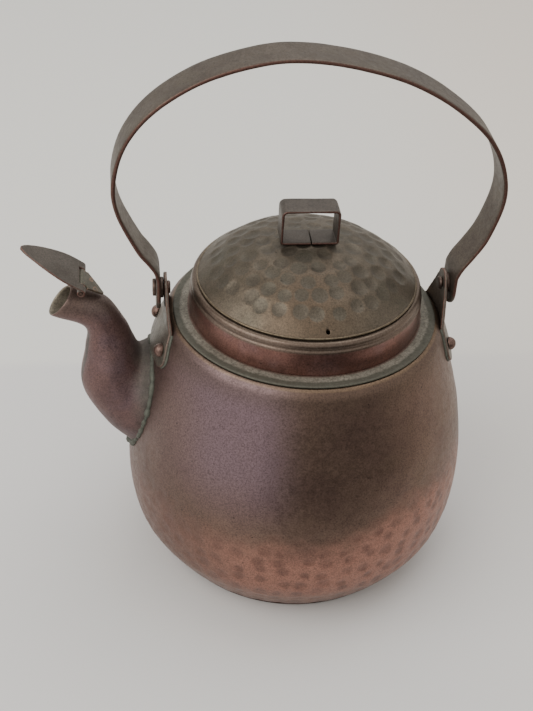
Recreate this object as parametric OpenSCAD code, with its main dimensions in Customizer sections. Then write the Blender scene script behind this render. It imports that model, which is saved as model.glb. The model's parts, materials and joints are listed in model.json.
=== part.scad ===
// Hammered copper kettle with a gooseneck spout, a hinged spout flap,
// a domed lid and a strap bail that swings on two riveted ears.
// Origin on the kettle's axis at the underside of the base. The spout points to -X.

/* [Body] */
// Widest radius of the body
body_radius = 95; // [94:0.5:96]
// Height of the body's upper edge
body_height = 152.9; // [152:0.1:154]
// Thickness of the body's copper sheet
body_wall = 1.4; // [1.2:0.1:1.6]
// Diameter of the opening in the body behind the spout
spout_hole_d = 44; // [36:1:46]

/* [Collar] */
// Outer radius of the upright neck that the lid slips over
neck_radius = 60; // [59.5:0.1:60.2]
// Height of the neck above the collar
neck_height = 10; // [6:0.5:12]

/* [Lid] */
// Outer radius of the lid at its lower edge
lid_radius = 61.85; // [61.7:0.05:63]
// Height of the lid's band, up to the crease
lid_band_height = 20.1; // [19:0.1:21]
// Radius of the crease where the dome begins
dome_radius = 57.9; // [57:0.1:58.5]
// Rise of the dome above the crease
dome_rise = 22.3; // [20:0.1:24]
// Diameter of the steam vent in the dome
vent_d = 2.2; // [1.5:0.1:3]

/* [Lid handle] */
// Length of the folded strip handle
handle_length = 30.4; // [26:0.2:34]
// Height of the folded strip handle
handle_height = 19.8; // [16:0.2:24]
// Width of the handle strip
handle_width = 14; // [11:0.5:16]

/* [Bail] */
// Width of the bail strap
strap_width = 21.9; // [18:0.1:22]
// Thickness of the bail strap
strap_thickness = 2.2; // [1.8:0.1:2.4]
// Height of the bail's pivots
pivot_height = 168; // [167:0.5:170]

/* [Spout flap] */
// Angle of the open flap above the horizontal
flap_angle = 34.4; // [20:0.2:50]
// Length of the flap's leaf from the hinge pin to its tip
flap_length = 35.6; // [33:0.2:38]
// Width of the flap's leaf at the hinge
flap_width = 27.4; // [25:0.2:29]

/* [Hidden] */

$fn = 96;
eps = 0.01;
// Gap between sheets that lie on each other
seat_gap = 0.08;

// Body
base_thickness = 1.5;
profile_steps = 44;
// Height and radius of the body's outer surface, from the base to the rim
body_profile = [
    [0, body_radius - 22.1],
    [10.7, body_radius - 13.9],
    [29.7, body_radius - 3.4],
    [59.4, body_radius],
    [96.8, body_radius - 4.2],
    [129.5, body_radius - 13.6],
    [body_height - 2.6, body_radius - 21.4],
    [body_height, body_radius - 24.4]
];
shoulder_z = body_height - 2.6;
spout_hole_z = 99;

// Collar
collar_thickness = 1.3;
collar_top = body_height + collar_thickness;
neck_wall = 1.2;

// Lid
lid_wall = 1.2;
lid_bottom = collar_top;
crease_z = lid_bottom + lid_band_height;
bead_height = 5;
// Radius and height of the dome's outer surface, from the middle to the crease
dome_profile = [
    [0, crease_z + dome_rise],
    [10, crease_z + dome_rise - 0.1],
    [20, crease_z + dome_rise - 1.9],
    [30, crease_z + dome_rise - 4.1],
    [45, crease_z + dome_rise - 11.4],
    [dome_radius, crease_z]
];
dome_steps = 24;
vent_angle = -86.8;
vent_reach = 55.2;
// Width of the band's ledge that the dome's rim stands on
ledge_width = 1.5;

// Lid handle
handle_sheet = 1.4;
handle_corner = 3;
handle_gap = 0.6;
handle_shift = -1;

// Ears and their rivets
ear_thickness = 1.8;
ear_bottom = 131.5;
ear_corner = 5;
ear_top_radius = 8;
ear_half_width = 25;
ear_rivet_y = 17.5;
ear_rivet_z = 139.5;
ear_rivet_r = 2;
ear_head_r = 3.7;
ear_head_height = 3.6;

// Bail and its pivots
pivot_rivet_r = 2.3;
pivot_head_r = 4.6;
pivot_head_thickness = 1.8;
pivot_washer_r = 5.5;
pivot_washer_thickness = 1.5;
running_gap = 0.05;
ear_inner_r = curve(shoulder_z, body_profile) + seat_gap;
ear_outer_r = ear_inner_r + ear_thickness;
washer_x = ear_outer_r + seat_gap;
strap_x = washer_x + pivot_washer_thickness + seat_gap;
strap_middle_x = strap_x + strap_thickness / 2;
head_x = strap_x + strap_thickness + seat_gap;
// Middle line of the bail's arch, seen from the front, between its two straight ends
bail_arch = [
    [-strap_middle_x, pivot_height + 9.5],
    [-79.7, 183],
    [-83.5, 189],
    [-88.7, 196.5],
    [-98.2, 217],
    [-100.2, 234],
    [-94.6, 254.5],
    [-80.5, 272.8],
    [-57, 288],
    [-30, 296.5],
    [-8, 298],
    [16, 294.6],
    [41, 287.2],
    [63, 275.3],
    [82.5, 259.3],
    [93.2, 241.5],
    [96.4, 223],
    [91.6, 202],
    [85.6, 190],
    [80.6, 182],
    [strap_middle_x, pivot_height + 8.5]
];
bail_steps = 6;

// Spout: upper edge, lower edge and half width of its cross sections, from the body to the mouth
spout_sections = [
    [0, [-80.6, 131, -92.4, 68.9, 27.4]],
    [0.2, [-87.1, 127.8, -107.5, 84.1, 23.4]],
    [0.4, [-91.2, 136, -120.2, 107.6, 19.6]],
    [0.6, [-95.2, 145.8, -117.4, 130.1, 13.8]],
    [0.8, [-105.9, 162.2, -117.5, 145.6, 10.2]],
    [1, [-123.3, 168.2, -135.9, 153.8, 9.3]]
];
spout_wall = 1.3;
spout_rings = 34;
spout_sides = 40;

// Flap hinge
hinge_x = -117.8;
hinge_z = 173.6;
hinge_pin_r = 1;
knuckle_r = 2.1;
knuckle_gap = 0.3;
centre_knuckle = 14;
hinge_sheet = 1.1;
plate_angle = 46;
plate_length = 14.2;
plate_half_width = 8;
flap_curve_r = 330;
// Distance from the hinge pin and half width of the flap's leaf, as shares of its size
flap_outline = [
    [0, 1],
    [0.28, 1],
    [0.45, 0.9],
    [0.6, 0.75],
    [0.74, 0.58],
    [0.88, 0.38],
    [0.96, 0.22],
    [1, 0.08]
];

// Smooth curve through a list of [position, value] pairs, where a value is a number or a list
function stretch_of(t, p, i = 0) =
    (i >= len(p) - 2 || t < p[i + 1][0]) ? i : stretch_of(t, p, i + 1);
function slope_at(p, i) =
    let (a = max(i - 1, 0), b = min(i + 1, len(p) - 1))
    (p[b][1] - p[a][1]) / (p[b][0] - p[a][0]);
function curve(t, p) =
    let (
        i = stretch_of(t, p),
        h = p[i + 1][0] - p[i][0],
        u = (t - p[i][0]) / h,
        m0 = slope_at(p, i) * h,
        m1 = slope_at(p, i + 1) * h
    )
    (2 * u^3 - 3 * u^2 + 1) * p[i][1] + (u^3 - 2 * u^2 + u) * m0
        + (3 * u^2 - 2 * u^3) * p[i + 1][1] + (u^3 - u^2) * m1;

function body_r(z) = curve(z, body_profile);
function dome_z(r) = curve(r, dome_profile);
function steps(a, b, n) = [for (i = [0:n]) a + (b - a) * i / n];
function arc(cx, cy, r, a, b, n) =
    [for (t = steps(a, b, n)) [cx + r * cos(t), cy + r * sin(t)]];
function reversed(p) = [for (i = [len(p) - 1:-1:0]) p[i]];

module body_shell() {
    levels = steps(base_thickness, body_height, profile_steps);
    wall = concat(
        [for (z = levels) [body_r(z), z]],
        [for (z = reversed(levels)) [body_r(z) - body_wall, z]]
    );
    color("sienna")
    difference() {
        rotate_extrude($fn = 180) polygon(wall);
        translate([-body_radius, 0, spout_hole_z])
            rotate([0, 90, 0])
            cylinder(d = spout_hole_d, h = 60, center = true);
        for (side = [-1, 1], back = [-1, 1])
            at_ear_rivet(side, back)
            cylinder(r = ear_rivet_r + eps, h = 20, center = true);
    }
}

module base_disc() {
    edge = body_r(base_thickness);
    color("peru")
    rotate_extrude($fn = 180)
        polygon([[0, 0], [edge - 1.6, 0], [edge - 0.5, 0.5], [edge, base_thickness], [0, base_thickness]]);
}

module collar_ring() {
    edge = body_r(body_height);
    flange_r = edge - body_wall - 0.2;
    flange_in = flange_r - 1.2;
    flange_drop = 4;
    color("darkseagreen")
    rotate_extrude($fn = 180)
        polygon(concat(
            [[neck_radius + seat_gap, body_height], [flange_in, body_height],
             [flange_in, body_height - flange_drop], [flange_r, body_height - flange_drop],
             [flange_r, body_height], [edge - collar_thickness / 2, body_height]],
            arc(edge - collar_thickness / 2, body_height + collar_thickness / 2, collar_thickness / 2, -60, 90, 6),
            [[neck_radius + seat_gap, collar_top]]
        ));
}

module neck_ring() {
    foot = 4;
    color("peru")
    translate([0, 0, body_height - foot])
        difference() {
            cylinder(r = neck_radius, h = foot + collar_thickness + neck_height, $fn = 180);
            translate([0, 0, -1])
                cylinder(r = neck_radius - neck_wall, h = foot + collar_thickness + neck_height + 2, $fn = 180);
        }
}

// Ring of points round a spout cross section, narrowed by inset
function section_ring(t, inset) =
    let (
        s = curve(t, spout_sections),
        ax = s[0], az = s[1], bx = s[2], bz = s[3],
        half = norm([ax - bx, az - bz]) / 2,
        k = (half - inset) / half,
        w = s[4] - inset
    )
    [for (i = [0:spout_sides - 1])
        let (a = 360 * i / spout_sides)
        [(ax + bx) / 2 + k * cos(a) * (ax - bx) / 2, w * sin(a), (az + bz) / 2 + k * cos(a) * (az - bz) / 2]];
// First ring of the spout, laid onto the body
function seated(ring) =
    [for (p = ring) [-sqrt(body_r(p[2])^2 - p[1]^2) - seat_gap, p[1], p[2]]];
function spout_ring(i, inset) =
    let (ring = section_ring(i / spout_rings, inset))
    i == 0 ? seated(ring) : ring;

module spout() {
    outer = [for (i = [0:spout_rings]) spout_ring(i, 0)];
    inner = [for (i = [spout_rings:-1:0]) spout_ring(i, spout_wall)];
    rings = concat(outer, inner);
    n = spout_sides;
    color("saddlebrown")
    polyhedron(
        points = [for (r = rings) for (p = r) p],
        faces = [for (k = [0:len(rings) - 1], i = [0:n - 1])
            let (m = (k + 1) % len(rings), j = (i + 1) % n)
            [k * n + i, k * n + j, m * n + j, m * n + i]]
    );
}

// Places children at the hinge pin, with X along a sheet that leaves it at an angle and Z outward
module at_hinge(angle) {
    translate([hinge_x, 0, hinge_z])
        rotate([0, angle, 0])
        children();
}

module knuckle(y, length) {
    translate([0, y, 0])
        rotate([90, 0, 0])
        difference() {
            cylinder(r = knuckle_r, h = length, center = true, $fn = 48);
            cylinder(r = hinge_pin_r + running_gap, h = length + 1, center = true, $fn = 48);
        }
}

module spout_hinge_plate() {
    tip = 1.4;
    root = centre_knuckle / 2;
    color("darkkhaki")
    at_hinge(plate_angle) {
        knuckle(0, centre_knuckle);
        translate([0, 0, knuckle_r - hinge_sheet])
            linear_extrude(hinge_sheet)
            polygon(concat(
                [[0.02, -root], [knuckle_r + 0.25, -root], [knuckle_r + 0.5, -plate_half_width]],
                arc(plate_length - tip, 0, tip, -60, 60, 6),
                [[knuckle_r + 0.5, plate_half_width], [knuckle_r + 0.25, root], [0.02, root]]
            ));
    }
}

module flap_leaf() {
    half = flap_width / 2;
    shares = steps(0, 1, 20);
    outline = concat(
        [for (t = shares) [t * flap_length, curve(t, flap_outline) * half]],
        [for (t = reversed(shares)) [t * flap_length, -curve(t, flap_outline) * half]]
    );
    slot = centre_knuckle / 2 + knuckle_gap;
    intersection() {
        linear_extrude(20, center = true)
            difference() {
                polygon(outline);
                translate([-5, -slot]) square([7.6, 2 * slot]);
            }
        translate([0, 0, knuckle_r - flap_curve_r])
            rotate([90, 0, 0])
            difference() {
                cylinder(r = flap_curve_r, h = 60, center = true, $fn = 240);
                cylinder(r = flap_curve_r - hinge_sheet, h = 61, center = true, $fn = 240);
            }
    }
}

module spout_flap() {
    slot = centre_knuckle / 2 + knuckle_gap;
    length = flap_width / 2 - slot;
    color("rosybrown")
    at_hinge(180 + flap_angle)
    mirror([0, 0, 1])
    union() {
        flap_leaf();
        for (side = [-1, 1])
            knuckle(side * (slot + length / 2), length);
    }
}

module flap_hinge_pin() {
    color("dimgray")
    translate([hinge_x, 0, hinge_z])
        rotate([90, 0, 0])
        cylinder(r = hinge_pin_r, h = flap_width + 0.6, center = true, $fn = 48);
}

// Outline of an ear, as half width across and height up
module ear_outline() {
    half = ear_half_width;
    lean = atan((half - ear_top_radius) / (pivot_height - ear_bottom - 6));
    right = concat(
        arc(half - ear_corner, ear_bottom + ear_corner, ear_corner, -90, lean, 8),
        arc(0, pivot_height, ear_top_radius, lean, 90, 10)
    );
    polygon(concat(right, [for (p = reversed(right)) [-p[0], p[1]]]));
}

module ear(side) {
    levels = concat(steps(ear_bottom - 3, shoulder_z, 10), [pivot_height + 12]);
    function ear_r(z) = body_r(min(z, shoulder_z)) + seat_gap;
    sheet = concat(
        [for (z = levels) [ear_r(z), z]],
        [for (z = reversed(levels)) [ear_r(z) + ear_thickness, z]]
    );
    difference() {
        intersection() {
            rotate_extrude($fn = 180) polygon(sheet);
            rotate([90, 0, side * 90])
                linear_extrude(body_radius + 10)
                ear_outline();
        }
        translate([0, 0, pivot_height])
            rotate([0, 90, 0])
            cylinder(r = pivot_rivet_r + eps, h = 220, center = true, $fn = 48);
        for (back = [-1, 1])
            at_ear_rivet(side, back)
            cylinder(r = ear_rivet_r + eps, h = 20, center = true, $fn = 48);
    }
}

// Places children on the body's surface at an ear rivet, with Z along the rivet, pointing outward
module at_ear_rivet(side, back) {
    r = body_r(ear_rivet_z);
    around = asin(ear_rivet_y / r);
    tilt = atan(body_r(ear_rivet_z) - body_r(ear_rivet_z + 1));
    rotate([0, 0, side > 0 ? back * around : 180 - back * around])
        translate([r, 0, ear_rivet_z])
        rotate([0, 90 - tilt, 0])
        children();
}

module ear_rivet(side, back) {
    under_head = ear_thickness + 2 * seat_gap;
    dome_r = (ear_head_r^2 + ear_head_height^2) / (2 * ear_head_height);
    color("indianred")
    at_ear_rivet(side, back)
        rotate_extrude($fn = 48)
        polygon(concat(
            [[0, -body_wall - 1.6], [3, -body_wall - 1.6], [3, -body_wall - 0.25],
             [ear_rivet_r, -body_wall - 0.25], [ear_rivet_r, under_head], [ear_head_r, under_head]],
            [for (a = steps(asin(ear_head_r / dome_r) * (ear_head_height > ear_head_r ? -1 : 1), 0, 8))
                if (a != 0) [dome_r * sin(abs(a)), under_head + ear_head_height - dome_r + dome_r * cos(a)]],
            [[0, under_head + ear_head_height]]
        ));
}

// Places children on a pivot's axis, with Z pointing outward from the kettle
module at_pivot(side) {
    translate([0, 0, pivot_height])
        rotate([0, side * 90, 0])
        children();
}

module pivot_washer(side) {
    color("dimgray")
    at_pivot(side)
        translate([0, 0, washer_x])
        difference() {
            cylinder(r = pivot_washer_r, h = pivot_washer_thickness, $fn = 48);
            translate([0, 0, -1])
                cylinder(r = pivot_rivet_r + running_gap, h = pivot_washer_thickness + 2, $fn = 48);
        }
}

module pivot_rivet(side) {
    inner_x = ear_inner_r - 0.35;
    peen = 1.5;
    color("dimgray")
    at_pivot(side)
        rotate_extrude($fn = 48)
        polygon(concat(
            [[0, inner_x - peen], [3, inner_x - peen], [3.6, inner_x - peen / 2], [3.6, inner_x],
             [pivot_rivet_r, inner_x], [pivot_rivet_r, head_x], [pivot_head_r, head_x]],
            arc(pivot_head_r - 0.5, head_x + pivot_head_thickness - 0.5, 0.5, 0, 90, 4),
            [[0, head_x + pivot_head_thickness]]
        ));
}

module bail_strap() {
    last = len(bail_arch) - 1;
    knots = [for (i = [0:last]) [i, bail_arch[i]]];
    end_drop = [0, strap_width / 2 + 10];
    middle = concat(
        [bail_arch[0] - end_drop],
        [for (t = steps(0, last, bail_steps * last)) curve(t, knots)],
        [bail_arch[last] - end_drop]
    );
    n = len(middle);
    function side_at(i) =
        let (d = middle[min(i + 1, n - 1)] - middle[max(i - 1, 0)])
        [-d[1], d[0]] / norm(d) * strap_thickness / 2;
    color("rosybrown")
    difference() {
        intersection() {
            rotate([90, 0, 0])
                linear_extrude(strap_width, center = true)
                polygon(concat(
                    [for (i = [0:n - 1]) middle[i] + side_at(i)],
                    [for (i = [n - 1:-1:0]) middle[i] - side_at(i)]
                ));
            union() {
                translate([0, 0, pivot_height])
                    rotate([0, 90, 0])
                    cylinder(d = strap_width, h = 240, center = true);
                translate([-120, -20, pivot_height]) cube([240, 40, 150]);
            }
        }
        translate([0, 0, pivot_height])
            rotate([0, 90, 0])
            cylinder(r = pivot_rivet_r + running_gap, h = 240, center = true, $fn = 48);
    }
}

module lid_dome() {
    radii = steps(0, dome_radius, dome_steps);
    color("darkolivegreen")
    difference() {
        rotate_extrude($fn = 180)
            polygon(concat(
                [for (r = radii) [r, dome_z(r)]],
                [for (r = reversed(radii)) [r, dome_z(r) - lid_wall]]
            ));
        rotate([0, 0, vent_angle])
            translate([vent_reach, 0, crease_z - 10])
            cylinder(d = vent_d, h = 40, $fn = 48);
    }
}

module lid_band() {
    top = crease_z - lid_wall - seat_gap;
    outer = concat(
        [[lid_radius, lid_bottom], [lid_radius - 0.25, top - bead_height]],
        arc(lid_radius - 3.4, top - bead_height / 2, bead_height / 2, -30, 90, 9)
    );
    color("brown")
    rotate_extrude($fn = 180)
        polygon(concat(
            outer,
            [[dome_radius - ledge_width, top], [dome_radius - ledge_width, top - lid_wall]],
            [[lid_radius - 2.8, top - lid_wall], [lid_radius - 0.25 - lid_wall, top - bead_height],
             [lid_radius - lid_wall, lid_bottom]]
        ));
}

module lid_handle() {
    base = dome_z(0) + seat_gap;
    top = base + handle_height;
    half = handle_length / 2;
    c = handle_corner;
    t = handle_sheet;
    outline = concat(
        [[handle_gap / 2, base], [half - 0.8, base], [half, base + 0.8]],
        arc(half - c, top - c, c, 0, 90, 8),
        arc(c - half, top - c, c, 90, 180, 8),
        [[-half, base + 0.8], [0.8 - half, base], [-handle_gap / 2, base],
         [-handle_gap / 2, base + t], [t - half, base + t]],
        arc(c - half, top - c, c - t, 180, 90, 8),
        arc(half - c, top - c, c - t, 90, 0, 8),
        [[half - t, base + t], [handle_gap / 2, base + t]]
    );
    color("rosybrown")
    translate([handle_shift, 0, 0])
        rotate([90, 0, 0])
        linear_extrude(handle_width, center = true)
        polygon(outline);
}

body_shell();
base_disc();
collar_ring();
neck_ring();
spout();
spout_hinge_plate();
spout_flap();
flap_hinge_pin();
color("slategray") ear(-1);  // ear_left
color("slategray") ear(1);  // ear_right
ear_rivet(-1, -1);  // ear_rivet_left_front
ear_rivet(-1, 1);  // ear_rivet_left_back
ear_rivet(1, -1);  // ear_rivet_right_front
ear_rivet(1, 1);  // ear_rivet_right_back
pivot_washer(-1);  // pivot_washer_left
pivot_washer(1);  // pivot_washer_right
pivot_rivet(-1);  // pivot_rivet_left
pivot_rivet(1);  // pivot_rivet_right
bail_strap();
lid_dome();
lid_band();
lid_handle();
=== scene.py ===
"""Hammered copper kettle: the visible surfaces, seams and finishes, built round the fixed frame.

Everything is in metres, in the frame's own axes: the kettle stands on z = 0 about the Z axis,
its spout points to -X, and its bail swings about a line along X.
"""

import json
import math

import bmesh
import bpy
import numpy as np
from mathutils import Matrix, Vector, noise
from mathutils.bvhtree import BVHTree
from mathutils.kdtree import KDTree


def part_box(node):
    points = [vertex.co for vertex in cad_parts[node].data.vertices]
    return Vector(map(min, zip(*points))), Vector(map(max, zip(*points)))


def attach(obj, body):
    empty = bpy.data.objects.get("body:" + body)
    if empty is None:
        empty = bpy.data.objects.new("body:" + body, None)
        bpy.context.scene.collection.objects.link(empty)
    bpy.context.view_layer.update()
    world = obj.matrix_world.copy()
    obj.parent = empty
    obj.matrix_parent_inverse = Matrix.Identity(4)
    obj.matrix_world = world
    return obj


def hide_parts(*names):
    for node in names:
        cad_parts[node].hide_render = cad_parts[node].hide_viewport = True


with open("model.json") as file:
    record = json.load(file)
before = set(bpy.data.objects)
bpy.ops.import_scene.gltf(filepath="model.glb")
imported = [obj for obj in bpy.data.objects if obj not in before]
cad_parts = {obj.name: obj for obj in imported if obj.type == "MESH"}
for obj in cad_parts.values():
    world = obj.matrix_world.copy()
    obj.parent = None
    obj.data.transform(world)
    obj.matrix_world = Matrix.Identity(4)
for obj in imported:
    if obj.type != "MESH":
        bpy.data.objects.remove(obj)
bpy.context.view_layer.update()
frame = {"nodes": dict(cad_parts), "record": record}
MM = 0.001
BODY_OF = {
    node: body for body, nodes in frame["record"]["behaviour"]["bodies"].items() for node in nodes
}
SLOT_OF = {part["node"]: part["material_slot"] for part in frame["record"]["subparts"]}


# Camera, with its turn in degrees and its lens in millimetres

CAMERA_PLACE = (-0.09765, -0.54056, 0.52905)
CAMERA_TURN = (53.217, -2.892, -6.148)
CAMERA_LENS = 62.55


def make_camera():
    data = bpy.data.cameras.new("camera")
    data.lens = CAMERA_LENS
    data.sensor_width = 36
    camera = bpy.data.objects.new("camera", data)
    camera.location = CAMERA_PLACE
    camera.rotation_euler = [math.radians(a) for a in CAMERA_TURN]
    bpy.context.scene.collection.objects.link(camera)
    bpy.context.scene.camera = camera


# Sizes and places that the frame's boxes don't give

# The side where turned nodes are measured, in degrees about Z, clear of the spout and the vent
SECTION_TURN = 91.3

# The hole in the body that the spout opens from
SPOUT_HOLE_HEIGHT = 99 * MM
SPOUT_HOLE_RADIUS = 22 * MM

# Two points on the spout's middle line: the middle of its mouth, and one below it
MOUTH = np.array([-129.6, 0, 161.0]) * MM
BELOW_MOUTH = np.array([-111.7, 0, 153.9]) * MM

# The steam hole in the dome, its turn in degrees about Z
VENT_TURN = -86.8
VENT_REACH = 55.2 * MM
VENT_RADIUS = 1.1 * MM

# The bail's strap, and a point inside its arch, by its rise above the pivots
BAIL_THICKNESS = 2.2 * MM
ARCH_RISE = 62 * MM

# The handle's strip, bent to one radius at its top corners and to another at its feet
HANDLE_THICKNESS = 1.4 * MM
HANDLE_CORNER = 2.3 * MM
HANDLE_FOOT = 0.9 * MM
HANDLE_HALF_GAP = 0.35 * MM

# How much of a strap's thickness each of its long edges is rounded by
STRAP_ROUND = 0.45

# Points in a full ring path, and sides of a bead's round section
RING_POINTS = 500
BEAD_SIDES = 10


# Measuring the frame


def node_bmesh(node):
    """The node's own mesh, with its split corners joined."""
    bm = bmesh.new()
    bm.from_mesh(frame["nodes"][node].data)
    bmesh.ops.remove_doubles(bm, verts=bm.verts, dist=0.002 * MM)
    return bm


def tree_of(node):
    bm = node_bmesh(node)
    tree = BVHTree.FromBMesh(bm)
    bm.free()
    return tree


def section(node):
    """Outline of a turned node, as (radius, height) rows, and whether it is a closed loop.

    It runs from the axis to the axis where the node reaches it, and is a closed loop otherwise.
    """
    bm = node_bmesh(node)
    turn = math.radians(SECTION_TURN)
    out = Vector((math.cos(turn), math.sin(turn), 0))
    everything = bm.verts[:] + bm.edges[:] + bm.faces[:]
    cut = bmesh.ops.bisect_plane(bm, geom=everything, plane_co=(0, 0, 0), plane_no=out.cross((0, 0, 1)))
    near = 0.01 * MM
    edges = [e for e in cut["geom_cut"] if isinstance(e, bmesh.types.BMEdge)]
    edges = [e for e in edges if min(v.co.dot(out) for v in e.verts) > -near]
    beside = {}
    for e in edges:
        a, b = e.verts
        beside.setdefault(a, []).append(b)
        beside.setdefault(b, []).append(a)
    ends = [v for v in beside if len(beside[v]) == 1]
    chain = [max(ends or beside, key=lambda v: v.co.z)]
    while True:
        ahead = [v for v in beside[chain[-1]] if v not in chain]
        if not ahead:
            break
        chain.append(ahead[0])
    points = np.array([(max(v.co.dot(out), 0), v.co.z) for v in chain])
    bm.free()
    return points, not ends


def outer_side(outline):
    """(height, radius) rows of the outer side of a thin turned wall, from the bottom up."""
    levels = {}
    for r, z in outline:
        key = round(z / (0.01 * MM))
        levels[key] = max(levels.get(key, (0, 0))[0], r), z
    rows = sorted((z, r) for r, z in levels.values())
    return np.array(rows)


BODY_SIDE = outer_side(section("body_shell")[0])
BODY_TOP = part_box("body_shell")[1][2]
BAND_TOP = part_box("lid_band")[1][2]


def body_radius(z):
    return np.interp(z, BODY_SIDE[:, 0], BODY_SIDE[:, 1])


def body_gap(points):
    """How far outside the body's wall each point lies, measured level."""
    return np.hypot(points[:, 0], points[:, 1]) - body_radius(points[:, 2])


# Paths


def unit(rows):
    """Rows of vectors, each scaled to length 1."""
    return rows / np.linalg.norm(rows, axis=1)[:, None]


def even_path(points, step, closed=False):
    """The same path with points a step apart."""
    if closed:
        points = np.vstack([points, points[:1]])
    length = np.r_[0, np.cumsum(np.linalg.norm(np.diff(points, axis=0), axis=1))]
    at = np.linspace(0, length[-1], int(length[-1] / step) + 1)
    line = np.column_stack([np.interp(at, length, column) for column in points.T])
    return line[:-1] if closed else line


def smooth_outline(points, closed, step, passes):
    """The outline with points a step apart, and its corners rounded by averaging."""
    line = even_path(points, step, closed)
    for _ in range(passes):
        middle = (np.roll(line, 1, axis=0) + 2 * line + np.roll(line, -1, axis=0)) / 4
        if not closed:
            middle[0], middle[-1] = line[0], line[-1]
        line = middle
    return line


def ring_path(radius, height):
    turn = np.linspace(0, 2 * math.pi, RING_POINTS, endpoint=False)
    return np.column_stack([radius * np.cos(turn), radius * np.sin(turn), np.full(RING_POINTS, height)])


def quarter_bend(x, z, radius, start, steps):
    """Points of a quarter turn about (x, z), from a start in degrees."""
    turn = np.radians(np.linspace(start, start + 90, steps))
    return [(x + radius * math.cos(a), z + radius * math.sin(a)) for a in turn]


# Making pieces


def add_piece(name, mesh, node=None, body=None, slot=None):
    """Links a mesh as a piece that rides on a body, and stands for a node where one is named."""
    piece = bpy.data.objects.new(name, mesh)
    bpy.context.scene.collection.objects.link(piece)
    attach(piece, body or BODY_OF[node])
    slot or SLOT_OF[node]
    if node:
        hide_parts(node)
    return piece


def mesh_from(name, points, faces):
    mesh = bpy.data.meshes.new(name)
    mesh.from_pydata([tuple(p) for p in points], [], [tuple(int(i) for i in f) for f in faces])
    mesh.validate()
    return mesh


def smooth_shaded(mesh):
    mesh.polygons.foreach_set("use_smooth", [True] * len(mesh.polygons))
    mesh.update()


def tidy_mesh(mesh, join=0.001 * MM):
    """Joins doubled points, drops flat faces and turns every face outward."""
    bm = bmesh.new()
    bm.from_mesh(mesh)
    bmesh.ops.remove_doubles(bm, verts=bm.verts, dist=join)
    bmesh.ops.dissolve_degenerate(bm, edges=bm.edges, dist=join)
    bmesh.ops.recalc_face_normals(bm, faces=bm.faces)
    bm.to_mesh(mesh)
    bm.free()
    smooth_shaded(mesh)


def write_layer(mesh, name, values):
    """Stores one number per point, for a material to read."""
    layer = mesh.attributes.new(name, "FLOAT", "POINT")
    layer.data.foreach_set("value", np.asarray(values, dtype=np.float32))


def read_points(mesh):
    points = np.empty(len(mesh.vertices) * 3, dtype=np.float32)
    mesh.vertices.foreach_get("co", points)
    return points.reshape(-1, 3).astype(float)


def read_normals(mesh):
    normals = np.empty(len(mesh.vertices) * 3, dtype=np.float32)
    mesh.vertex_normals.foreach_get("vector", normals)
    return normals.reshape(-1, 3).astype(float)


def write_points(mesh, points):
    mesh.vertices.foreach_set("co", np.asarray(points, dtype=np.float32).ravel())
    mesh.update()


def waves(points, size, seed):
    """Smooth noise from -1 to 1 at each point, with bumps of about the given size."""
    shift = Vector((seed * 3.1, seed * 7.7, seed * 1.3))
    return np.array([noise.noise(Vector(p) / size + shift) for p in points])


def roughen(mesh, *layers):
    """Moves every point along its normal by sums of smooth noise, each (size, height, seed)."""
    points = read_points(mesh)
    move = sum(height * waves(points, size, seed) for size, height, seed in layers)
    write_points(mesh, points + read_normals(mesh) * move[:, None])


def ring_faces(rows, size, closed):
    """Faces between neighbouring rows of points, where each row is a ring of the given size."""
    faces = []
    for i in range(rows if closed else rows - 1):
        a, b = i * size, (i + 1) % rows * size
        for j in range(size):
            k = (j + 1) % size
            faces.append((a + j, a + k, b + k, b + j))
    return faces


def turned_mesh(node, step, passes, segments):
    """A turned node's outline, smoothed and turned about Z again with more segments."""
    points, closed = section(node)
    outline = smooth_outline(points, closed, step, passes)
    turn = np.linspace(0, 2 * math.pi, segments, endpoint=False)
    radius, height = outline[:, :1], outline[:, 1:]
    x, y = radius * np.cos(turn), radius * np.sin(turn)
    z = np.broadcast_to(height, x.shape)
    rings = np.stack([x, y, z], axis=2).reshape(-1, 3)
    mesh = mesh_from(node + "_skin", rings, ring_faces(len(outline), segments, closed))
    tidy_mesh(mesh, join=0.01 * MM)
    return mesh


def use_modifier(piece, kind, **settings):
    """Adds a modifier and applies it at once."""
    modifier = piece.modifiers.new(kind.lower(), kind)
    for key, value in settings.items():
        setattr(modifier, key, value)
    bpy.context.view_layer.update()
    graph = bpy.context.evaluated_depsgraph_get()
    evaluated = piece.evaluated_get(graph)
    mesh = bpy.data.meshes.new_from_object(evaluated, preserve_all_data_layers=True, depsgraph=graph)
    piece.modifiers.clear()
    old = piece.data
    piece.data = mesh
    bpy.data.meshes.remove(old)


def drill(piece, place, radius, length, turn=(0, 0, 0)):
    """Cuts a round hole through a piece, along Z unless it is turned."""
    bm = bmesh.new()
    bmesh.ops.create_cone(bm, cap_ends=True, segments=64, radius1=radius, radius2=radius, depth=length)
    mesh = bpy.data.meshes.new("drill")
    bm.to_mesh(mesh)
    bm.free()
    tool = bpy.data.objects.new("drill", mesh)
    bpy.context.scene.collection.objects.link(tool)
    tool.location = place
    tool.rotation_euler = turn
    bpy.context.view_layer.update()
    use_modifier(piece, "BOOLEAN", operation="DIFFERENCE", object=tool, solver="MANIFOLD")
    bpy.data.objects.remove(tool)
    smooth_shaded(piece.data)


def worn_piece(node, voxel, rounding, *layers):
    """A node's shape with its edges worn round and its faces no longer quite flat."""
    bm = node_bmesh(node)
    mesh = bpy.data.meshes.new(node + "_worn")
    bm.to_mesh(mesh)
    bm.free()
    piece = add_piece(node + "_worn", mesh, node)
    use_modifier(piece, "REMESH", mode="VOXEL", voxel_size=voxel)
    use_modifier(piece, "SMOOTH", factor=0.5, iterations=rounding)
    if layers:
        roughen(piece.data, *layers)
    smooth_shaded(piece.data)
    return piece


# Hammer marks


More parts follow.
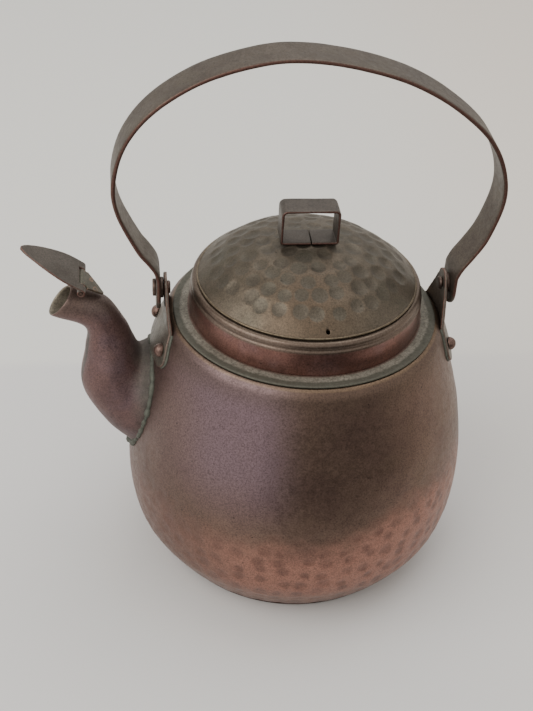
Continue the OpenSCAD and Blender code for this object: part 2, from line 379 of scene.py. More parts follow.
def press_marks(mesh, marks, direction):
    """Drives round hammer marks into a mesh along the given directions, the deepest winning.

    marks are (place, radius, depth). The share of its depth that a point has is kept as "mark".
    """
    points = read_points(mesh)
    tree = KDTree(len(points))
    for i, p in enumerate(points):
        tree.insert(p, i)
    tree.balance()
    press, share = np.zeros(len(points)), np.zeros(len(points))
    for place, radius, depth in marks:
        for _, i, distance in tree.find_range(place, radius):
            s = 1 - (distance / radius) ** 2
            press[i] = max(press[i], depth * s)
            share[i] = max(share[i], s)
    write_points(mesh, points - direction * press[:, None])
    write_layer(mesh, "mark", share)


def rows_of_marks(rows, seed):
    """Places round the Z axis, in rows of (radius, height, spacing), none quite in line."""
    random = np.random.default_rng(seed)
    for radius, height, spacing in rows:
        count = max(int(2 * math.pi * radius / spacing), 1)
        start = random.uniform(0, 2 * math.pi)
        for k in range(count):
            turn = start + 2 * math.pi * (k + random.uniform(-0.22, 0.22)) / count
            yield turn, radius, height, random


# Body, collar and neck


def body_outward(points):
    """Unit vectors straight out of the body's wall at each point."""
    turn = np.arctan2(points[:, 1], points[:, 0])
    small = 0.5 * MM
    slope = (body_radius(points[:, 2] + small) - body_radius(points[:, 2] - small)) / (2 * small)
    return unit(np.column_stack([np.cos(turn), np.sin(turn), -slope]))


def body_marks(heights, spacing, seed, drift, depths, sizes, strength):
    """Hammer marks in rows round the body. Drift, depths and sizes are in millimetres."""
    rows = [(float(body_radius(z)), z, spacing) for z in heights]
    for turn, _, height, random in rows_of_marks(rows, seed):
        z = height + random.uniform(-drift, drift) * MM
        depth = random.uniform(*depths) * MM * strength(turn, z)
        radius = float(body_radius(z))
        place = radius * math.cos(turn), radius * math.sin(turn), z
        yield place, random.uniform(*sizes) * MM, depth


def fading_upward(turn, z):
    return min(1, (105 * MM - z) / (55 * MM))


def stronger_away_from_spout(turn, z):
    return 3 if math.cos(turn) > 0.45 else 1


def make_body():
    """The body, with hammer marks that are deep low down and faint above, and the spout's hole."""
    mesh = turned_mesh("body_shell", 1.1 * MM, 2, 560)
    low_rows, high_rows = np.arange(4, 92, 8.4) * MM, np.arange(80, 145, 9.5) * MM
    marks = [
        *body_marks(low_rows, 11.5 * MM, 3, 2.6, (0.22, 0.36), (3.4, 5.2), fading_upward),
        *body_marks(high_rows, 14 * MM, 4, 3, (0.02, 0.06), (5, 7), stronger_away_from_spout),
    ]
    press_marks(mesh, marks, body_outward(read_points(mesh)))
    roughen(mesh, (30 * MM, 0.25 * MM, 1), (10 * MM, 0.06 * MM, 2))
    piece = add_piece("body_skin", mesh, "body_shell")
    along_x = (0, math.pi / 2, 0)
    drill(piece, (-90 * MM, 0, SPOUT_HOLE_HEIGHT), SPOUT_HOLE_RADIUS, 60 * MM, along_x)
    return piece


def make_collar():
    mesh = turned_mesh("collar_ring", 0.45 * MM, 2, 420)
    roughen(mesh, (16 * MM, 0.12 * MM, 61), (2.5 * MM, 0.05 * MM, 62))
    return add_piece("collar_skin", mesh, "collar_ring")


def make_neck_ring():
    mesh = turned_mesh("neck_ring", 0.5 * MM, 2, 360)
    roughen(mesh, (20 * MM, 0.1 * MM, 63))
    return add_piece("neck_ring_skin", mesh, "neck_ring")


# Lid


def make_dome():
    """The lid's dome, with rings of deep hammer marks and the steam hole."""
    mesh = turned_mesh("lid_dome", 0.8 * MM, 2, 420)
    side = outer_side(section("lid_dome")[0])[::-1]
    rows = [(r * MM, 0, 9.6 * MM) for r in (7, 15.5, 24, 32, 40, 47.5)]
    marks = []
    for turn, radius, _, random in rows_of_marks(rows, 11):
        r = radius + random.uniform(-1.3, 1.3) * MM
        z = float(np.interp(r, side[:, 1], side[:, 0]))
        size = random.uniform(4.0, 5.0) * MM
        marks.append(((r * math.cos(turn), r * math.sin(turn), z), size, random.uniform(0.65, 1.05) * MM))
    straight_up = np.array([[0, 0, 1.0]])
    press_marks(mesh, marks, straight_up)
    roughen(mesh, (22 * MM, 0.2 * MM, 5), (6 * MM, 0.05 * MM, 6))
    dome = add_piece("lid_dome_skin", mesh, "lid_dome")
    low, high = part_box("lid_dome")
    turn = math.radians(VENT_TURN)
    vent = (VENT_REACH * math.cos(turn), VENT_REACH * math.sin(turn), (low[2] + high[2]) / 2)
    drill(dome, vent, VENT_RADIUS, 50 * MM)
    return dome


def make_lid_band():
    mesh = turned_mesh("lid_band", 0.35 * MM, 2, 360)
    roughen(mesh, (30 * MM, 0.25 * MM, 7), (5 * MM, 0.05 * MM, 8))
    return add_piece("lid_band_skin", mesh, "lid_band")


def make_lid_seam():
    """The bead in the crease where the dome meets the band."""
    low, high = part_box("lid_dome")
    crease = ring_path(high[0] - 0.25 * MM, low[2] + 0.95 * MM)
    return add_bead("lid_seam", crease, 0.62 * MM, 9, lumps=0.15, slot=SLOT_OF["lid_band"], body="lid")


# Straps


def strap_mesh(name, path, half_widths, thickness):
    """A flat strap swept along a path in the plane y = 0, with its four long edges rounded."""
    along = unit(np.vstack([path[1:], path[-1:]]) - np.vstack([path[:1], path[:-1]]))
    across = np.column_stack([-along[:, 1], along[:, 0]])
    corner = thickness * STRAP_ROUND
    turn = np.radians(np.arange(0, 91, 30))
    quarter = np.column_stack([np.cos(turn), np.sin(turn)]) * corner
    flat = np.linspace(-1, 1, 9)[1:-1]
    points = []
    for (x, z), (nx, nz), half in zip(path, across, half_widths):
        inner_w, inner_t = half - corner, thickness / 2 - corner
        ring = [(inner_w + a, inner_t + b) for a, b in quarter]
        ring += [(-f * inner_w, thickness / 2) for f in flat]
        ring += [(-inner_w - b, inner_t + a) for a, b in quarter]
        ring += [(-a, -b) for a, b in ring]
        points += [(x + nx * t, w, z + nz * t) for w, t in ring]
    rows = len(path)
    size = len(points) // rows
    end_caps = [range(size)[::-1], range((rows - 1) * size, rows * size)]
    mesh = mesh_from(name, points, ring_faces(rows, size, False) + end_caps)
    tidy_mesh(mesh)
    write_layer(mesh, "edge", np.abs(read_points(mesh)[:, 1]) / max(half_widths))
    return mesh


def strap_middle(node, centre, turns):
    """Middle line of a bent strap, halfway between the two faces met from a point inside its bend."""
    tree = tree_of(node)
    past_face = 0.05 * MM
    line = []
    for a in turns:
        aim = Vector((math.cos(a), 0, math.sin(a)))
        near = tree.ray_cast(centre, aim)[0]
        far = tree.ray_cast(near + aim * past_face, aim)[0]
        line.append(((near.x + far.x) / 2, (near.z + far.z) / 2))
    return np.array(line)


def strap_waves(path, size, seed):
    """Smooth noise along a path in the plane y = 0."""
    return waves(np.column_stack([path, path[:, :1]]), size, seed)


def make_bail():
    """The bail: straight legs with round ends, joined by the arch that the frame's strap follows."""
    low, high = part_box("bail_strap")
    half = (high[1] - low[1]) / 2
    pivot = low[2] + half
    off_middle = 0.1 * MM
    centre = Vector((0, off_middle, pivot + ARCH_RISE))
    arch = strap_middle("bail_strap", centre, np.radians(np.linspace(214.5, -34.5, 240)))
    arch = arch[arch[:, 1] > pivot + 4 * MM]
    leg = np.linspace(low[2] + 0.02 * MM, pivot + 3.5 * MM, 40)
    left = [(arch[0][0], z) for z in leg]
    right = [(arch[-1][0], z) for z in leg[::-1]]
    path = np.vstack([left, even_path(arch, 1.3 * MM), right])
    below = np.clip(pivot - path[:, 1], 0, half * 0.999)
    wobble = 0.16 * MM * strap_waves(path, 30 * MM, 21)
    halves = np.sqrt(half**2 - below**2) + np.where(below > 0, 0, wobble - 0.08 * MM)
    mesh = strap_mesh("bail_skin", path, halves, BAIL_THICKNESS)
    roughen(mesh, (26 * MM, 0.22 * MM, 22), (7 * MM, 0.06 * MM, 23))
    return add_piece("bail_skin", mesh, "bail_strap")


def make_handle():
    """The strip handle: a folded loop whose two feet meet over the middle of the lid."""
    low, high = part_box("lid_handle")
    half_t = HANDLE_THICKNESS / 2
    left, right = low[0] + half_t, high[0] - half_t
    bottom, top = low[2] + half_t, high[2] - half_t
    outline = [(HANDLE_HALF_GAP, bottom)]
    outline += quarter_bend(right - HANDLE_FOOT, bottom + HANDLE_FOOT, HANDLE_FOOT, -90, 5)
    outline += quarter_bend(right - HANDLE_CORNER, top - HANDLE_CORNER, HANDLE_CORNER, 0, 9)
    outline += quarter_bend(left + HANDLE_CORNER, top - HANDLE_CORNER, HANDLE_CORNER, 90, 9)
    outline += quarter_bend(left + HANDLE_FOOT, bottom + HANDLE_FOOT, HANDLE_FOOT, 180, 5)
    outline += [(-HANDLE_HALF_GAP, bottom)]
    path = even_path(np.array(outline), 0.45 * MM)
    half = (high[1] - low[1]) / 2
    halves = half + 0.12 * MM * strap_waves(path, 9 * MM, 31) - 0.12 * MM
    mesh = strap_mesh("handle_skin", path, halves, HANDLE_THICKNESS)
    roughen(mesh, (12 * MM, 0.14 * MM, 32), (4 * MM, 0.05 * MM, 33))
    return add_piece("lid_handle_skin", mesh, "lid_handle")


# Spout


def make_spout():
    """The spout, its faces joined into quads and subdivided, with its mouth and root marked."""
    bm = node_bmesh("spout")
    bmesh.ops.join_triangles(
        bm, faces=bm.faces, angle_face_threshold=1.2, angle_shape_threshold=1.4, cmp_seam=False
    )
    mesh = bpy.data.meshes.new("spout_skin")
    bm.to_mesh(mesh)
    bm.free()
    piece = add_piece("spout_skin", mesh, "spout")
    use_modifier(piece, "SUBSURF", levels=2, render_levels=2)
    roughen(piece.data, (17 * MM, 0.3 * MM, 41), (6 * MM, 0.07 * MM, 42))
    smooth_shaded(piece.data)
    write_layer(piece.data, "inside", mouth_inside(piece.data))
    write_layer(piece.data, "root", np.clip(1 - body_gap(read_points(piece.data)) / (6 * MM), 0, 1))
    return piece


def mouth_inside(mesh):
    """True on the inner face near the mouth, where normals point at the spout's middle line."""
    points = read_points(mesh)
    along = (MOUTH - BELOW_MOUTH) / np.linalg.norm(MOUTH - BELOW_MOUTH)
    out = points - MOUTH
    out -= (out @ along)[:, None] * along
    inner = np.sum(out * read_normals(mesh), axis=1) < 0
    return inner & ((points - BELOW_MOUTH) @ along > -4 * MM)


# Solder


def bead_mesh(name, path, radius, seed, lumps):
    """A lumpy bead round a closed path."""
    along = unit(np.roll(path, -1, axis=0) - np.roll(path, 1, axis=0))
    out = unit(path * (1, 1, 0))
    out = unit(out - along * np.sum(out * along, axis=1)[:, None])
    side = np.cross(along, out)
    size = radius * (1 + lumps * waves(path, 4 * MM, seed) + 0.5 * lumps * waves(path, 1.7 * MM, seed + 1))
    turn = np.linspace(0, 2 * math.pi, BEAD_SIDES, endpoint=False)
    ring = out[:, None] * np.cos(turn)[None, :, None] + side[:, None] * np.sin(turn)[None, :, None]
    points = (path[:, None] + ring * size[:, None, None]).reshape(-1, 3)
    mesh = mesh_from(name, points, ring_faces(len(path), BEAD_SIDES, True))
    tidy_mesh(mesh)
    return mesh


def add_bead(name, path, radius, seed, lumps=0.35, slot="collar_tinned", body="kettle"):
    """A bead as a piece of its own, which stands for no node."""
    return add_piece(name, bead_mesh(name, path, radius, seed, lumps), body=body, slot=slot)


def seam_path(node, highest=math.inf):
    """Where a node's outer edge lies against the body, in order round the middle of that edge."""
    points = read_points(frame["nodes"][node].data)
    close = points[(np.abs(body_gap(points)) < 0.3 * MM) & (points[:, 2] > 0) & (points[:, 2] < highest)]
    centre = (close.max(axis=0) + close.min(axis=0)) / 2
    turn = np.arctan2(close[:, 2] - centre[2], close[:, 1] - centre[1])
    reach = np.hypot(close[:, 2] - centre[2], close[:, 1] - centre[1])
    wedge = np.round(turn / math.radians(6)).astype(int)
    path = []
    for w in sorted(set(wedge)):
        within = np.flatnonzero(wedge == w)
        path.append(close[within[np.argmax(reach[within])]])
    return even_path(np.array(path), 0.8 * MM, closed=True)


def make_solder():
    """Every soldered seam: round the spout's root, round both ears and round the collar."""
    pieces = [add_bead("spout_root_solder", seam_path("spout"), 1.7 * MM, 51, lumps=0.45)]
    for ear in ("ear_left", "ear_right"):
        pieces.append(add_bead(ear + "_solder", seam_path(ear, highest=152 * MM), 0.75 * MM, 53))
    collar_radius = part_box("collar_ring")[1][0]
    collar_edge = ring_path(collar_radius - 1.0 * MM, BODY_TOP + 0.6 * MM)
    pieces.append(add_bead("collar_solder", collar_edge, 0.55 * MM, 57, lumps=0.5))
    return pieces


# Finishes


class Finish:
    """A material, with short calls for the nodes that its colours are mixed from."""

    def __init__(self, name):
        self.material = bpy.data.materials.new(name)
        self.material.use_nodes = True
        self.nodes = self.material.node_tree.nodes
        self.links = self.material.node_tree.links
        self.nodes.clear()
        self.place = self.nodes.new("ShaderNodeTexCoord").outputs["Object"]

    def put(self, socket, value):
        if isinstance(value, bpy.types.NodeSocket):
            self.links.new(value, socket)
        elif socket.type == "RGBA":
            socket.default_value = (*value[:3], 1)
        else:
            socket.default_value = value

    def node(self, kind, inputs, output=0, **settings):
        """Adds a node with its settings and its inputs, each named or numbered, for one output."""
        node = self.nodes.new(kind)
        for key, value in settings.items():
            setattr(node, key, value)
        for key, value in inputs.items():
            self.put(node.inputs[key], value)
        return node.outputs[output]

    def noise(self, size, detail=3.0, roughness=0.55, distortion=0.0):
        """Soft noise from 0 to 1, with patches of about the given size."""
        inputs = {"Vector": self.place, "Scale": 1 / size, "Detail": detail}
        inputs |= {"Roughness": roughness, "Distortion": distortion}
        return self.node("ShaderNodeTexNoise", inputs)

    def cells(self, size):
        """Distance from the middle of the nearest of many scattered spots."""
        return self.node("ShaderNodeTexVoronoi", {"Vector": self.place, "Scale": 1 / size})

    def between(self, value, low, high, to_low=0.0, to_high=1.0):
        """Turns a value's range into 0 to 1, or into another range, smoothly."""
        inputs = dict(enumerate((value, low, high, to_low, to_high)))
        return self.node("ShaderNodeMapRange", inputs, interpolation_type="SMOOTHSTEP")

    def math(self, operation, a, b=0.0):
        return self.node("ShaderNodeMath", {0: a, 1: b}, operation=operation)

    def times(self, a, b):
        return self.math("MULTIPLY", a, b)

    def plus(self, a, b):
        return self.math("ADD", a, b)

    def minus(self, a, b):
        return self.math("SUBTRACT", a, b)

    def mix(self, share, a, b):
        return self.node("ShaderNodeMix", {0: share, 6: a, 7: b}, output=2, data_type="RGBA")

    def tint(self, colour, share, strength, tone):
        """A colour with a tone laid over it, as strongly as the share times the strength."""
        return self.mix(self.times(share, strength), colour, tone)

    def axis(self, name):
        return self.node("ShaderNodeSeparateXYZ", {0: self.place}, output=name)

    def layer(self, name):
        """A number stored on the mesh's points."""
        return self.node("ShaderNodeAttribute", {}, output="Fac", attribute_name=name)

    def edges(self, low, high):
        """1 on outward edges and corners, 0 on flats."""
        return self.between(self.node("ShaderNodeNewGeometry", {}, output="Pointiness"), low, high)

    def wavy(self, value, size, height, detail=4, roughness=0.55):
        """A value raised unevenly by noise of the given size, up to the given height."""
        return self.plus(value, self.times(self.noise(size, detail, roughness), height))

    def bump(self, height, distance):
        return self.node("ShaderNodeBump", {"Height": height, "Distance": distance})

    def done(self, colour, roughness, metallic, normal):
        inputs = {"Base Color": colour, "Roughness": roughness, "Metallic": metallic, "Normal": normal}
        shader = self.node("ShaderNodeBsdfPrincipled", inputs)
        output = self.nodes.new("ShaderNodeOutputMaterial")
        self.links.new(shader, output.inputs[0])
        return self.material


def rgb(red, green, blue):
    """A display colour, 0 to 255, as the linear colour that a shader takes."""
    return tuple(
        c / 12.92 if c <= 0.04045 else ((c + 0.055) / 1.055) ** 2.4
        for c in (red / 255, green / 255, blue / 255)
    )


# Sizes of the marks that every old metal here has
FINE_SPECKS = 0.9 * MM
COARSE_SPECKS = 1.8 * MM
PIT_SPACING = 7 * MM
PITTED_PATCHES = 9 * MM
GRAIN = 0.5 * MM


def old_copper(
    name, light, dark, speck, edge=None, patch=None, patch_size=18 * MM, patch_share=0.5,
    mottle=14 * MM, metallic=0.85, roughness=(0.36, 0.5), grain_depth=0.05 * MM, zones=None, dull=None,
):
    """Old metal: two mottled tones and a patch colour, then zones, dark specks, pits and worn edges, on
    solder partly a painted highlight.

    zones(finish, colour) returns the colour with a sub-part's own marks, and dull(finish) returns
    from 0 to 1 where the metal is dull.
    """
    f = Finish(name)
    colour = f.mix(f.between(f.noise(mottle, 4, 0.55, 0.2), 0.25, 0.75), dark, light)
    if patch:
        colour = f.tint(colour, f.between(f.noise(patch_size, 3), 0.45, 0.7), patch_share, patch)
    if zones:
        colour = zones(f, colour)
    colour = f.tint(colour, f.between(f.noise(FINE_SPECKS, 3, 0.75), 0.35, 0.65), 0.45, speck)
    colour = f.tint(colour, f.between(f.noise(COARSE_SPECKS, 4, 0.8), 0.55, 0.7), 0.38, speck)
    pits = f.between(f.cells(PIT_SPACING), 0.1, 0.05)
    pits = f.times(pits, f.between(f.noise(PITTED_PATCHES, 1), 0.52, 0.6))
    colour = f.tint(colour, pits, 0.8, speck)
    if edge:
        colour = f.tint(colour, f.edges(0.51, 0.56), 0.85, edge)
    rough = f.between(f.noise(3 * MM, 4, 0.65), 0.3, 0.7, *roughness)
    if dull:
        share = dull(f)
        rough = f.plus(rough, f.times(share, 0.25))
        metallic = f.minus(metallic, f.times(share, 0.55))
    height = f.minus(f.noise(GRAIN, 3, 0.6), f.times(pits, 0.8))
    return f.done(colour, rough, metallic, f.bump(height, grain_depth))


def body_zones(f, colour):
    """Warmer and brighter copper low down as a painted floor reflection, violet on the spout side, partly
    painted light, and gold at the turned rim as a painted highlight.
    """
    height, x = f.axis("Z"), f.axis("X")
    # Painted reflection of the bright floor: warmer, brighter copper low down, darker in the hammer dents
    # within it.
    level = f.minus(f.wavy(height, 16 * MM, 30 * MM, 4, 0.6), f.between(x, 8 * MM, 62 * MM, 0, 16 * MM))
    low = f.times(f.between(level, 92 * MM, 66 * MM), f.between(x, -84 * MM, -24 * MM, 0.4, 1.0))
    colour = f.tint(colour, low, 0.85, rgb(174, 126, 110))
    uneven = f.between(f.noise(11 * MM, 3), 0.35, 0.6, 0.5, 1.0)
    mark = f.times(f.between(f.layer("mark"), 0.0, 0.9), f.times(low, uneven))
    colour = f.tint(colour, mark, 0.6, rgb(98, 72, 66))
    heel = f.between(height, 34 * MM, 12 * MM, 0, 0.5)
    colour = f.mix(heel, colour, rgb(146, 126, 116))
    spout_side = f.between(x, -30 * MM, -76 * MM, 0, 0.3)
    colour = f.mix(spout_side, colour, rgb(96, 78, 74))
    # Violet on the upper spout side: partly patina, partly painted light from the lamp on the left.
    side = f.times(f.between(x, -4 * MM, -30 * MM), f.between(x, -78 * MM, -50 * MM, 0.25, 1.0))
    colour = f.tint(colour, f.times(side, f.between(height, 66 * MM, 110 * MM)), 0.65, rgb(130, 110, 122))
    # Painted shade below the rim, darkening the window's reflection on the shoulder.
    painted_shoulder_shade = f.between(height, BODY_TOP - 16 * MM, BODY_TOP - 4 * MM)
    colour = f.tint(colour, painted_shoulder_shade, 0.45, rgb(92, 77, 64))
    # Painted highlight: a gold line where the turned rim catches the light.
    rim = f.between(height, BODY_TOP - 1.7 * MM, BODY_TOP - 1.0 * MM)
    return f.tint(colour, rim, 0.4, rgb(150, 126, 98))


def dome_zones(f, colour):
    """Painted highlight on the tan ridges at the front, between the greyer hammer marks."""
    front = f.between(f.axis("Y"), -8 * MM, -42 * MM)
    middle = f.between(f.math("ABSOLUTE", f.plus(f.axis("X"), 6 * MM)), 38 * MM, 8 * MM)
    mark = f.between(f.layer("mark"), 0.02, 0.4)
    # Painted highlight: the ridges at the front are lighter between the dents.
    painted_ridge_highlight = f.times(f.minus(1.0, mark), f.times(front, middle))
    colour = f.tint(colour, painted_ridge_highlight, 0.7, rgb(106, 88, 71))
    return f.tint(colour, mark, 0.4, rgb(84, 79, 70))


def band_zones(f, colour):
    """The grey bead below the crease, and a gold line on the crease itself."""
    height = f.axis("Z")
    bead = f.between(height, BAND_TOP - 6.5 * MM, BAND_TOP - 4.8 * MM)
    colour = f.tint(colour, bead, 0.8, rgb(106, 98, 86))
    crease = f.between(height, BAND_TOP - 0.9 * MM, BAND_TOP - 0.3 * MM)
    return f.tint(colour, crease, 0.3, rgb(112, 100, 84))


def collar_zones(f, colour):
    """Darker and grainier toward the outer edge, and a dark red line of painted shade in the gap at the
    foot of the lid's skirt.
    """
    x, y = f.axis("X"), f.axis("Y")
    radius = f.math("SQRT", f.plus(f.times(x, x), f.times(y, y)))
    outer = f.between(f.wavy(radius, 4 * MM, 3 * MM, 4, 0.7), 67.2 * MM, 69.0 * MM)
    colour = f.tint(colour, outer, 0.85, rgb(74, 73, 62))
    # Painted shade: a dark red line in the gap at the foot of the lid's skirt.
    inner = f.between(radius, 63.1 * MM, 62.3 * MM)
    return f.tint(colour, inner, 0.7, rgb(100, 62, 52))


def spout_smear(f):
    """Where solder was wiped over the back of the neck and round the root, from 0 to 1."""
    near = f.between(f.wavy(f.axis("X"), 12 * MM, 12 * MM), -90 * MM, -78 * MM)
    return f.times(near, f.between(f.axis("Z"), 88 * MM, 114 * MM))


def spout_zones(f, colour):
    """Grey-green solder smears, a seam down the front, a duller lip and an olive inner face."""
    colour = f.tint(colour, spout_smear(f), 0.8, rgb(80, 80, 70))
    # Painted light: lighter toward the spout's outer end on the left, which faces the window.
    outer = f.between(f.axis("X"), -104 * MM, -122 * MM)
    colour = f.tint(colour, outer, 0.3, rgb(146, 108, 98))
    lip = f.between(f.axis("Z"), 150 * MM, 162 * MM)
    colour = f.tint(colour, lip, 0.5, rgb(102, 94, 82))
    across = f.wavy(f.axis("Y"), 9 * MM, 3 * MM, 3)
    seam = f.between(f.math("ABSOLUTE", f.plus(across, 3 * MM)), 3.0 * MM, 1.2 * MM)
    front = f.between(f.axis("X"), -108 * MM, -114 * MM)
    below = f.between(f.axis("Z"), 150 * MM, 140 * MM)
    seam = f.times(seam, f.times(front, below))
    colour = f.tint(colour, seam, 0.75, rgb(66, 66, 60))
    # Darker round the root: partly dark solder grime, partly painted shade where the spout meets the body.
    root = f.times(f.layer("root"), f.between(f.noise(5 * MM, 4, 0.7), 0.3, 0.6))
    colour = f.tint(colour, root, 0.8, rgb(50, 48, 44))
    return f.mix(f.layer("inside"), colour, rgb(140, 132, 116))


def strap_edges(f, colour):
    """Dark red on the strap's thin edges."""
    return f.tint(colour, f.between(f.layer("edge"), 0.94, 0.985), 0.75, rgb(104, 66, 58))


def make_finishes():
    """Every finish by its short name. Each has a light tone, a dark tone and a speck colour first."""
    return {
        "body": old_copper(
            "body_copper", rgb(128, 105, 92), rgb(114, 91, 82), rgb(62, 51, 47),
            patch=rgb(116, 96, 82), patch_size=40 * MM, mottle=22 * MM, zones=body_zones,
        ),
        "base": old_copper("base_copper", rgb(120, 88, 74), rgb(84, 64, 56), rgb(48, 40, 38)),
        "dome": old_copper(
            "dome_copper", rgb(112, 101, 87), rgb(90, 81, 69), rgb(54, 50, 43),
            patch=rgb(98, 95, 83), metallic=0.75, roughness=(0.38, 0.5), zones=dome_zones,
        ),
        "band": old_copper(
            "band_copper", rgb(142, 102, 92), rgb(118, 84, 76), rgb(66, 50, 46),
            patch=rgb(136, 108, 108), roughness=(0.28, 0.4), zones=band_zones,
        ),
        "seam": old_copper(
            "seam_copper", rgb(134, 120, 100), rgb(104, 92, 76), rgb(60, 52, 44), mottle=5 * MM,
        ),
        "collar": old_copper(
            "collar_tinned", rgb(156, 150, 137), rgb(134, 128, 116), rgb(66, 63, 56),
            patch=rgb(94, 90, 78), patch_size=1.6 * MM, patch_share=0.6, mottle=8 * MM,
            metallic=0.45, roughness=(0.5, 0.7), grain_depth=0.12 * MM, zones=collar_zones,
        ),
        "solder": old_copper(
            "old_solder", rgb(76, 77, 69), rgb(46, 50, 45), rgb(28, 30, 27),
            # The lighter edge colour on the bead's ridges is partly wear and partly a painted highlight.
            edge=rgb(90, 92, 82), patch=rgb(58, 68, 62), patch_size=7 * MM, mottle=5 * MM,
            metallic=0.35, roughness=(0.5, 0.75), grain_depth=0.2 * MM,
        ),
        "spout": old_copper(
            "spout_copper", rgb(118, 92, 88), rgb(98, 76, 74), rgb(56, 45, 45),
            patch=rgb(112, 92, 98), metallic=0.7, roughness=(0.42, 0.56), zones=spout_zones,
            dull=spout_smear,
        ),
        "ear": old_copper(
            "ear_copper", rgb(122, 114, 104), rgb(94, 86, 78), rgb(52, 48, 44),
            edge=rgb(124, 78, 66), patch=rgb(98, 98, 88), metallic=0.6,
        ),
        "rivet": old_copper(
            "rivet_copper", rgb(142, 116, 106), rgb(108, 86, 78), rgb(56, 46, 42), edge=rgb(166, 134, 120),
        ),
        "pivot": old_copper(
            "pivot_metal", rgb(110, 96, 88), rgb(84, 74, 68), rgb(48, 42, 40), edge=rgb(138, 104, 92),
        ),
        "bail": old_copper(
            "bail_copper", rgb(103, 93, 83), rgb(87, 77, 69), rgb(51, 44, 40),
            patch=rgb(106, 98, 86), metallic=0.75, roughness=(0.42, 0.55), zones=strap_edges,
        ),
        "handle": old_copper(
            "handle_copper", rgb(97, 89, 82), rgb(82, 75, 69), rgb(48, 42, 38),
            metallic=0.7, zones=strap_edges,
        ),
        "flap": old_copper(
            "flap_copper", rgb(106, 98, 90), rgb(87, 79, 72), rgb(49, 43, 40),
            edge=rgb(122, 72, 62), metallic=0.75,
        ),
        "hinge": old_copper(
            "hinge_metal", rgb(112, 106, 92), rgb(86, 80, 69), rgb(48, 44, 38),
            edge=rgb(138, 110, 92), patch=rgb(98, 98, 84), metallic=0.6,
        ),
        "pin": old_copper(
            "pin_iron", rgb(96, 78, 68), rgb(62, 50, 46), rgb(36, 30, 30), roughness=(0.5, 0.7),
        ),
    }


def paint(piece, material):
    piece.data.materials.clear()
    piece.data.materials.append(material)


# Floor and light


def make_floor():
    """A pale floor, painted a touch lighter behind the kettle as the lit back wall, and painted warmer to
    its right as the shade there.
    """
    reach = 4
    corners = [(-reach, -reach, 0), (reach, -reach, 0), (reach, reach, 0), (-reach, reach, 0)]
    floor = bpy.data.objects.new("floor", mesh_from("floor", corners, [(0, 1, 2, 3)]))
    floor.location.z = -0.02 * MM
    bpy.context.scene.collection.objects.link(floor)
    f = Finish("floor_paper")
    # Painted light: lighter beyond the line where the back wall stands.
    behind = f.between(f.axis("Y"), 0.150, 0.164)
    colour = f.mix(behind, rgb(218, 216, 214), rgb(226, 224, 219))
    # Painted shade: warmer to the kettle's right, where its shadow falls.
    right = f.between(f.axis("X"), 0.05, 0.35)
    colour = f.tint(colour, right, 0.8, rgb(228, 218, 206))
    paint(floor, f.done(colour, 0.9, 0.0, f.bump(f.noise(2 * MM, 2), 0.01 * MM)))


def add_light(name, place, aim, size, power, colour):
    data = bpy.data.lights.new(name, "AREA")
    data.shape = "RECTANGLE"
    data.size, data.size_y = size
    data.energy = power
    data.color = colour
    light = bpy.data.objects.new(name, data)
    light.location = place
    light.rotation_euler = (Vector(aim) - Vector(place)).to_track_quat("-Z", "Y").to_euler()
    bpy.context.scene.collection.objects.link(light)


def make_card(name, corners, shade):
    """A dark card that only reflections see, for the dark side of the room."""
    card = bpy.data.objects.new(name, mesh_from(name, corners, [(0, 1, 2, 3)]))
    bpy.context.scene.collection.objects.link(card)
    f = Finish(name)
    paint(card, f.done((shade,) * 3, 1.0, 0.0, f.bump(f.noise(5 * MM), 0.0)))
    card.visible_camera = False
    card.visible_diffuse = False
    card.visible_shadow = False
    card.visible_transmission = False


def make_world(colour, strength):
    world = bpy.data.worlds.new("room")
    world.use_nodes = True
    background = world.node_tree.nodes["Background"]
    background.inputs["Color"].default_value = (*colour, 1)
    background.inputs["Strength"].default_value = strength
    bpy.context.scene.world = world


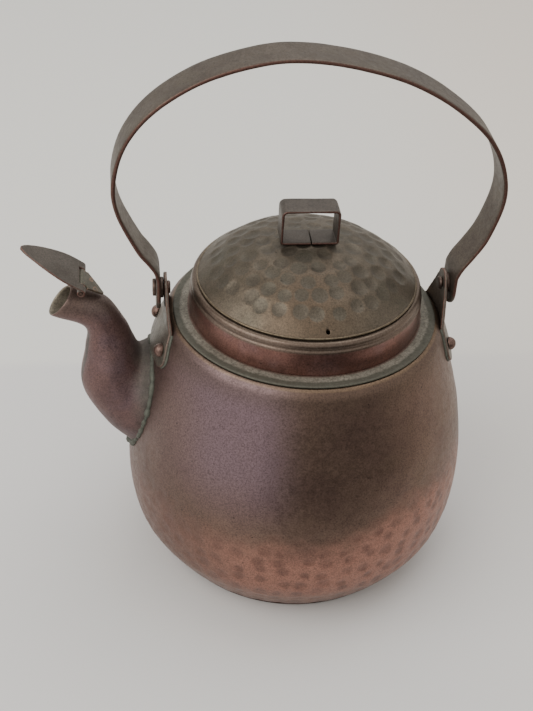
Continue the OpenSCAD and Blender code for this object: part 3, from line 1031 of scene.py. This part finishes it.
def make_stage():
    """The floor, the room's light, and the dark cards that polished metal mirrors."""
    make_floor()
    make_world(rgb(242, 240, 235), 0.94)
    middle = (0, 0, 0.1)
    add_light("window", (-1.1, -0.6, 1.25), middle, (1.7, 1.3), 19, rgb(255, 253, 250))
    add_light("ceiling", (0.3, 0.5, 1.6), middle, (1.6, 1.2), 10, rgb(250, 252, 255))
    add_light("low_window", (-0.75, -1.0, 0.22), middle, (0.5, 0.45), 0.2, rgb(238, 234, 255))
    near, far, lift = -0.20, -2.5, 0.001
    floor_card = [(-0.08, near, lift), (-0.8, far, lift), (2.4, far, lift), (0.9, near, lift)]
    make_card("dark_floor", floor_card, 0.02)
    left, right, back, tall = -0.36, 1.6, -1.1, 0.4
    room_card = [(left, back, 0), (right, back, 0), (right, back, tall), (left, back, tall)]
    make_card("dark_room", room_card, 0.10)


# The kettle


def make_side_fittings(side, finish):
    """One side's ear, its two rivets, and the bail's washer and rivet there."""
    ear = worn_piece("ear_" + side, 0.4 * MM, 5, (14 * MM, 0.3 * MM, 72), (6 * MM, 0.12 * MM, 71))
    paint(ear, finish["ear"])
    for end in ("front", "back"):
        rivet = worn_piece(f"ear_rivet_{side}_{end}", 0.25 * MM, 4, (3 * MM, 0.12 * MM, 73))
        paint(rivet, finish["rivet"])
    paint(worn_piece("pivot_washer_" + side, 0.25 * MM, 4), finish["pivot"])
    paint(worn_piece("pivot_rivet_" + side, 0.25 * MM, 5, (4 * MM, 0.15 * MM, 74)), finish["pivot"])


def make_flap_fittings(finish):
    """The spout's flap, its hinge plate and its pin."""
    paint(worn_piece("spout_flap", 0.28 * MM, 5, (11 * MM, 0.22 * MM, 75)), finish["flap"])
    paint(worn_piece("spout_hinge_plate", 0.25 * MM, 4, (5 * MM, 0.12 * MM, 76)), finish["hinge"])
    paint(worn_piece("flap_hinge_pin", 0.2 * MM, 3), finish["pin"])


def make_kettle(finish):
    paint(make_body(), finish["body"])
    paint(make_dome(), finish["dome"])
    paint(make_lid_band(), finish["band"])
    paint(make_lid_seam(), finish["seam"])
    paint(make_bail(), finish["bail"])
    paint(make_handle(), finish["handle"])
    paint(make_spout(), finish["spout"])
    paint(make_collar(), finish["collar"])
    paint(frame["nodes"]["base_disc"], finish["base"])
    paint(make_neck_ring(), finish["base"])
    for piece in make_solder():
        paint(piece, finish["solder"])
    for side in ("left", "right"):
        make_side_fittings(side, finish)
    make_flap_fittings(finish)


make_camera()
make_kettle(make_finishes())
make_stage()
